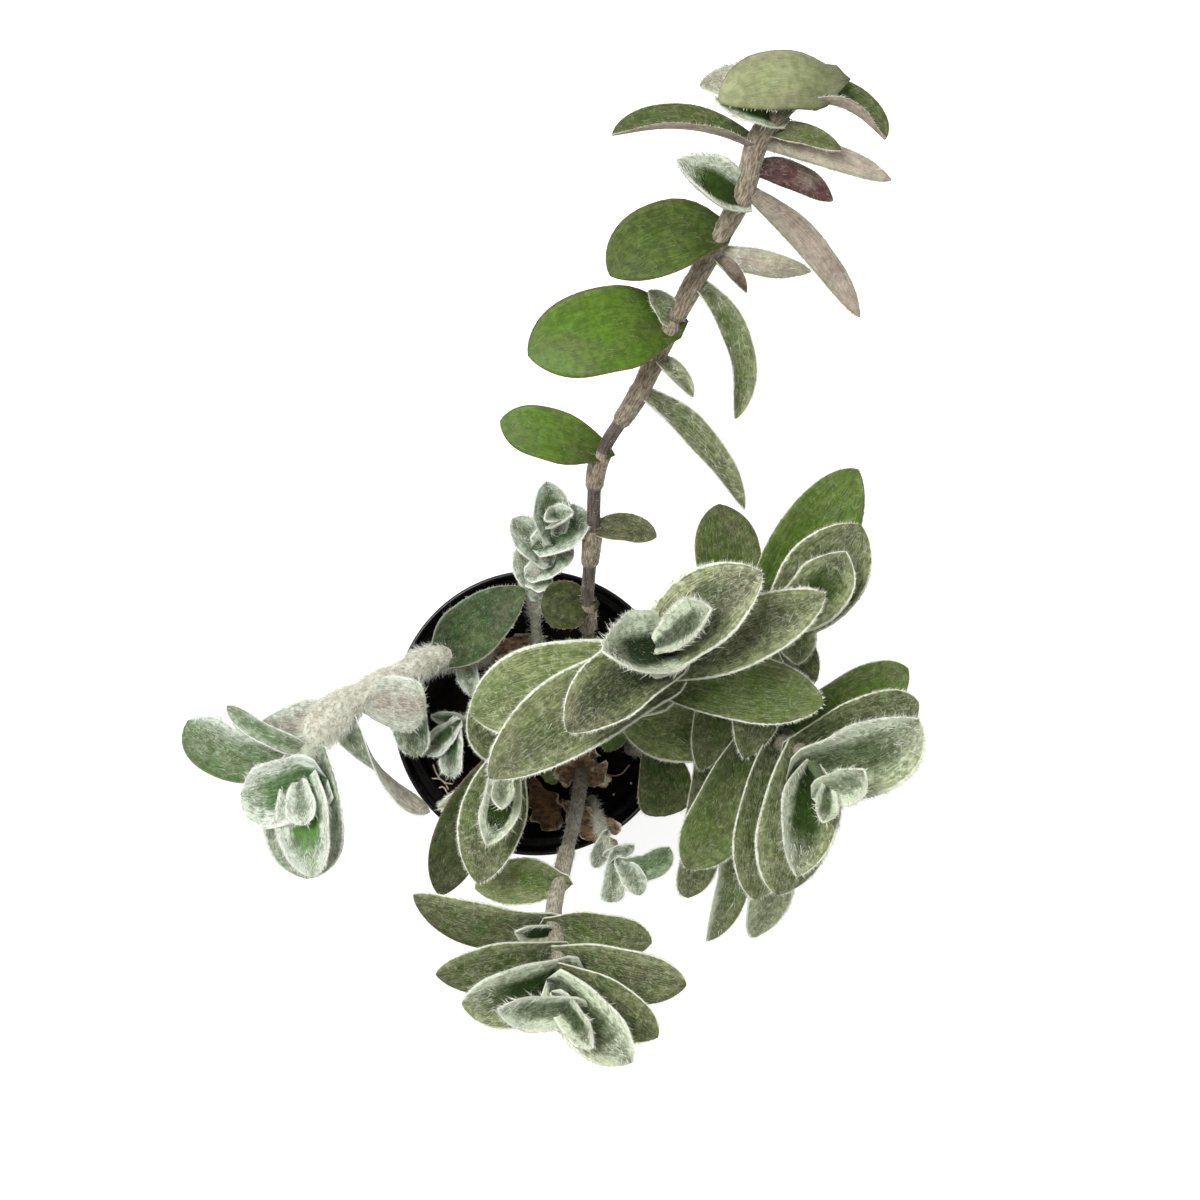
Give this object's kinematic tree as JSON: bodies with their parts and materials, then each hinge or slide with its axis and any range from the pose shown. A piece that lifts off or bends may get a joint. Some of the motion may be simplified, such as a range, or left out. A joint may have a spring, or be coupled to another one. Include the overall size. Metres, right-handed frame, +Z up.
{
  "type": "potted white velvet tradescantia",
  "caption": "Round nursery pot of soil with branching stems of boat-shaped velvety leaves; stands on its base.",
  "frame": {"origin": "on the pot's axis, at the surface the pot stands on", "axes": "+Z up along the pot's axis; +Y towards the back, where the tall stem leans; +X to the right"},
  "size_m": [0.2382, 0.2974, 0.2265],
  "materials": {
    "pot_plastic": "thin glossy black plastic",
    "potting_soil": "dark crumbly peat",
    "velvet_leaf": "grey-green, matte, under short white hairs",
    "woolly_leaf": "pale grey-green under dense white wool",
    "bright_leaf": "bright green, thinly haired",
    "dry_leaf_brown": "dead leaf, dark brown",
    "dry_leaf_tan": "dead leaf, papery tan",
    "fallen_leaf_yellow": "wilted pale yellow-green"
  },
  "bodies": {
    "root": {"pot": "pot_plastic", "soil": "potting_soil", "shoot_crown": "velvet_leaf", "shoot_back_right": "velvet_leaf", "shoot_right": "velvet_leaf", "shoot_front": "velvet_leaf", "shoot_front_left": "velvet_leaf", "shoot_left": "woolly_leaf", "shoot_small": "woolly_leaf", "shoot_tall": "bright_leaf", "sprig_front": "woolly_leaf", "sprout_left": "woolly_leaf", "dry_leaf_dark": "dry_leaf_brown", "dry_leaf_tan": "dry_leaf_tan", "dry_sheath_front": "dry_leaf_tan", "dry_leaf_back": "dry_leaf_tan", "fallen_scrap": "fallen_leaf_yellow"}
  },
  "joints": []
}
